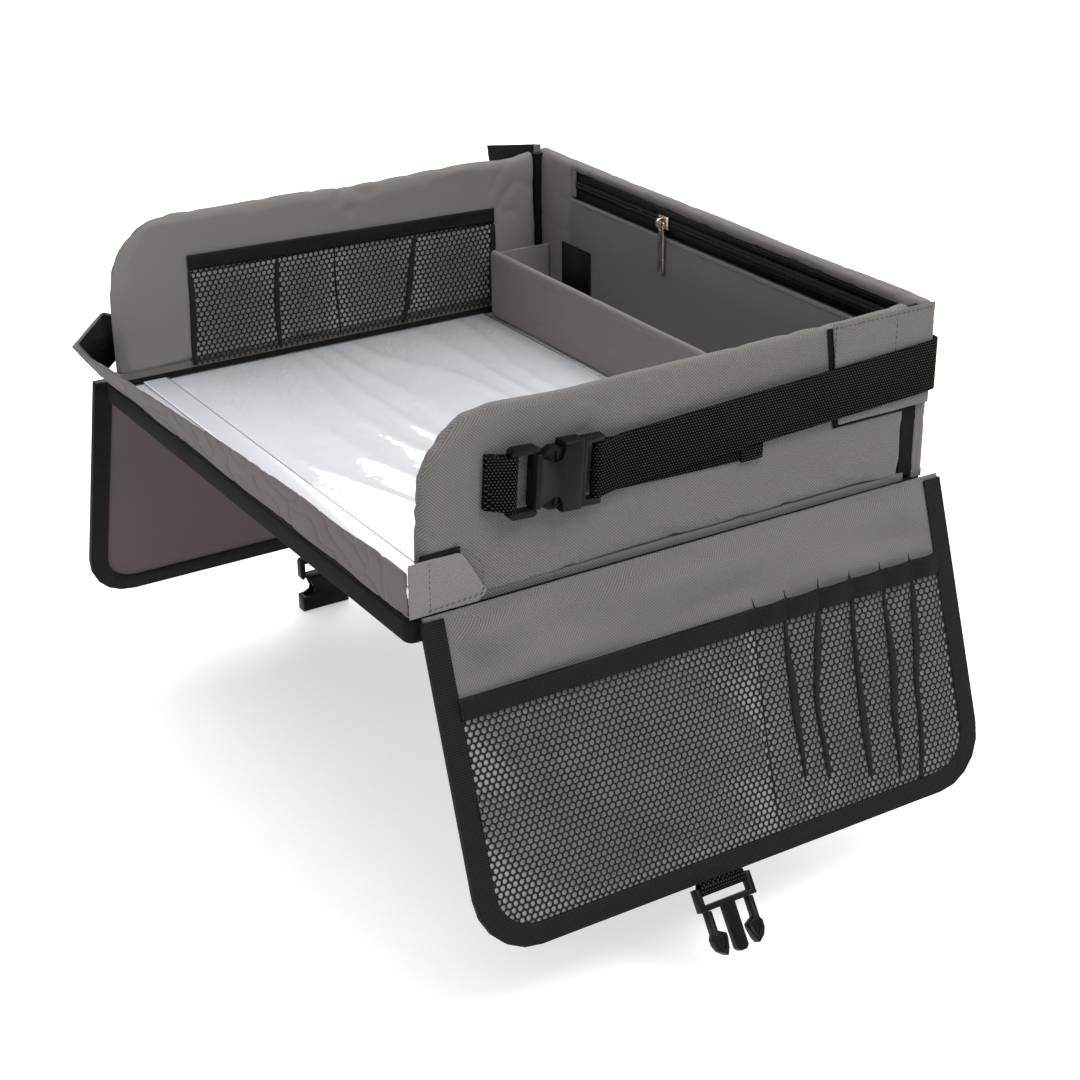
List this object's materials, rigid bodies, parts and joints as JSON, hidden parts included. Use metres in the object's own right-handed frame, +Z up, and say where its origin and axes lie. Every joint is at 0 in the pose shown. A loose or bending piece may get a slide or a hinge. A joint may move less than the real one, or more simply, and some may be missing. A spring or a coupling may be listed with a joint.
{
  "type": "car seat tray table",
  "caption": "Soft-sided lap tray for a child's car seat: board under a clear cover, padded walls, zip pocket, divider, waist belt and two hanging mesh pocket flaps.",
  "frame": {"origin": "on the base's flat underside, midway between the side walls and about 2 mm behind its middle from front to rear", "axes": "+Z up, +X to the wall with the closed belt buckle, +Y from the child's lip towards the tall rear wall"},
  "size_m": [0.5656, 0.3725, 0.349],
  "materials": {
    "grey_fabric": "fine twill weave",
    "inner_fabric": "smooth fine weave",
    "black_fabric": "plain weave",
    "black_binding": "ribbed tape",
    "black_mesh": "open net",
    "black_webbing": "coarse webbing",
    "hook_and_loop": "matt pile",
    "black_plastic": "satin moulded",
    "white_board": "smooth white",
    "clear_vinyl": "clear and glossy",
    "zip_metal": "nickel plated"
  },
  "bodies": {
    "tray": {"base_board": "black_fabric", "drawing_board": "white_board", "clear_cover": "clear_vinyl", "cover_hem": "white_board", "side_wall_right": "grey_fabric", "side_wall_left": "grey_fabric", "rear_wall": "grey_fabric", "rear_pocket_panel": "inner_fabric", "zip_tape_lower": "black_fabric", "zip_tape_upper": "black_fabric", "zip_chain": "black_plastic", "rear_loop_patch": "hook_and_loop", "rear_tab_right": "grey_fabric", "rear_tab_left": "grey_fabric", "rear_tab_left_patch": "hook_and_loop", "wall_patch_right_rear": "hook_and_loop", "wall_patch_right_front": "hook_and_loop", "side_pocket_net": "black_mesh", "side_pocket_band": "black_binding", "belt_webbing": "black_webbing", "belt_anchor_loop": "black_webbing", "belt_female_body": "black_plastic", "belt_male_frame": "black_plastic"},
    "slider": {"zip_slider": "zip_metal"},
    "pull": {"zip_pull": "zip_metal"},
    "lip": {"front_lip": "inner_fabric"},
    "lip_tab_r": {"lip_tab_right": "grey_fabric"},
    "lip_tab_l": {"lip_tab_left": "grey_fabric", "lip_tab_left_patch": "hook_and_loop"},
    "divider": {"divider_panel": "grey_fabric"},
    "gusset": {"divider_gusset": "grey_fabric"},
    "belt_prong_up": {"belt_prong_upper": "black_plastic"},
    "belt_prong_low": {"belt_prong_lower": "black_plastic"},
    "right_flap": {"right_flap_panel": "grey_fabric", "right_flap_binding": "black_binding", "right_flap_net": "black_mesh", "right_flap_band": "black_binding", "right_buckle_strap": "black_webbing"},
    "right_buckle": {"right_male_frame": "black_plastic"},
    "right_prong_r": {"right_prong_rear": "black_plastic"},
    "right_prong_f": {"right_prong_front": "black_plastic"},
    "left_flap": {"left_flap_panel": "grey_fabric", "left_flap_binding": "black_binding", "left_flap_net": "black_mesh", "left_flap_band": "black_binding", "left_buckle_strap": "black_webbing"},
    "left_buckle": {"left_female_body": "black_plastic"}
  },
  "joints": [
    {"name": "right_flap_swing", "type": "hinge", "parent": "tray", "child": "right_flap", "pos_m": [0.2076, 0.005, 0.015], "axis": [0, -1, 0], "range_deg": [-17, 88], "stiffness_Nm_per_rad": 0.15, "springref_deg": 7.35},
    {"name": "right_buckle_swing", "type": "hinge", "parent": "right_flap", "child": "right_buckle", "pos_m": [0.26789, -0.017, -0.16518], "axis": [0, -1, 0], "range_deg": [-90, 90]},
    {"name": "right_prong_rear_flex", "type": "hinge", "parent": "right_buckle", "child": "right_prong_r", "pos_m": [0.27468, -0.0028, -0.17507], "axis": [-0.8241, 0, -0.5664], "range_deg": [0, 5], "stiffness_Nm_per_rad": 1.5},
    {"name": "right_prong_front_flex", "type": "hinge", "parent": "right_buckle", "child": "right_prong_f", "pos_m": [0.27468, -0.0312, -0.17507], "axis": [0.8241, 0, 0.5664], "range_deg": [0, 5], "stiffness_Nm_per_rad": 1.5},
    {"name": "left_flap_swing", "type": "hinge", "parent": "tray", "child": "left_flap", "pos_m": [-0.2076, -0.0075, 0.015], "axis": [0, 1, 0], "range_deg": [-15.5, 66], "stiffness_Nm_per_rad": 0.15, "springref_deg": 7.3},
    {"name": "left_buckle_swing", "type": "hinge", "parent": "left_flap", "child": "left_buckle", "pos_m": [-0.26856, 0.0055, -0.18439], "axis": [0, 1, 0], "range_deg": [-90, 90]},
    {"name": "belt_prong_upper_flex", "type": "hinge", "parent": "tray", "child": "belt_prong_up", "pos_m": [0.2112, -0.07423, 0.09099], "axis": [1, 0, 0], "range_deg": [0, 5], "stiffness_Nm_per_rad": 1.5},
    {"name": "belt_prong_lower_flex", "type": "hinge", "parent": "tray", "child": "belt_prong_low", "pos_m": [0.2112, -0.07597, 0.06264], "axis": [-1, 0, 0], "range_deg": [0, 5], "stiffness_Nm_per_rad": 1.5},
    {"name": "lip_fold", "type": "hinge", "parent": "tray", "child": "lip", "pos_m": [0, -0.1748, 0.015], "axis": [1, 0, 0], "range_deg": [0, 54]},
    {"name": "lip_tab_right_peel", "type": "hinge", "parent": "lip", "child": "lip_tab_r", "pos_m": [0.20735, -0.1748, 0.015], "axis": [0, 0, -1], "range_deg": [0, 100]},
    {"name": "lip_tab_left_peel", "type": "hinge", "parent": "lip", "child": "lip_tab_l", "pos_m": [-0.20735, -0.1748, 0.015], "axis": [0, -0.5878, 0.809], "range_deg": [-8, 15]},
    {"name": "divider_fold", "type": "hinge", "parent": "tray", "child": "divider", "pos_m": [0, 0.11, 0.0121], "axis": [1, 0, 0], "range_deg": [0, 88]},
    {"name": "gusset_fold", "type": "hinge", "parent": "divider", "child": "gusset", "pos_m": [-0.1855, 0.1148, 0.0121], "axis": [0, 0, -1], "range_deg": [0, 80]},
    {"name": "zip_slide", "type": "slide", "parent": "tray", "child": "slider", "axis": [1, 0, 0], "range_m": [-0.102, 0.222]},
    {"name": "zip_pull_swing", "type": "hinge", "parent": "slider", "child": "pull", "pos_m": [-0.047, 0.1587, 0.1068], "axis": [-1, 0, 0], "range_deg": [0, 150]}
  ],
  "couplings": [
    {"joint": "right_prong_front_flex", "follows": "right_prong_rear_flex", "ratio": 1},
    {"joint": "belt_prong_lower_flex", "follows": "belt_prong_upper_flex", "ratio": 1}
  ]
}
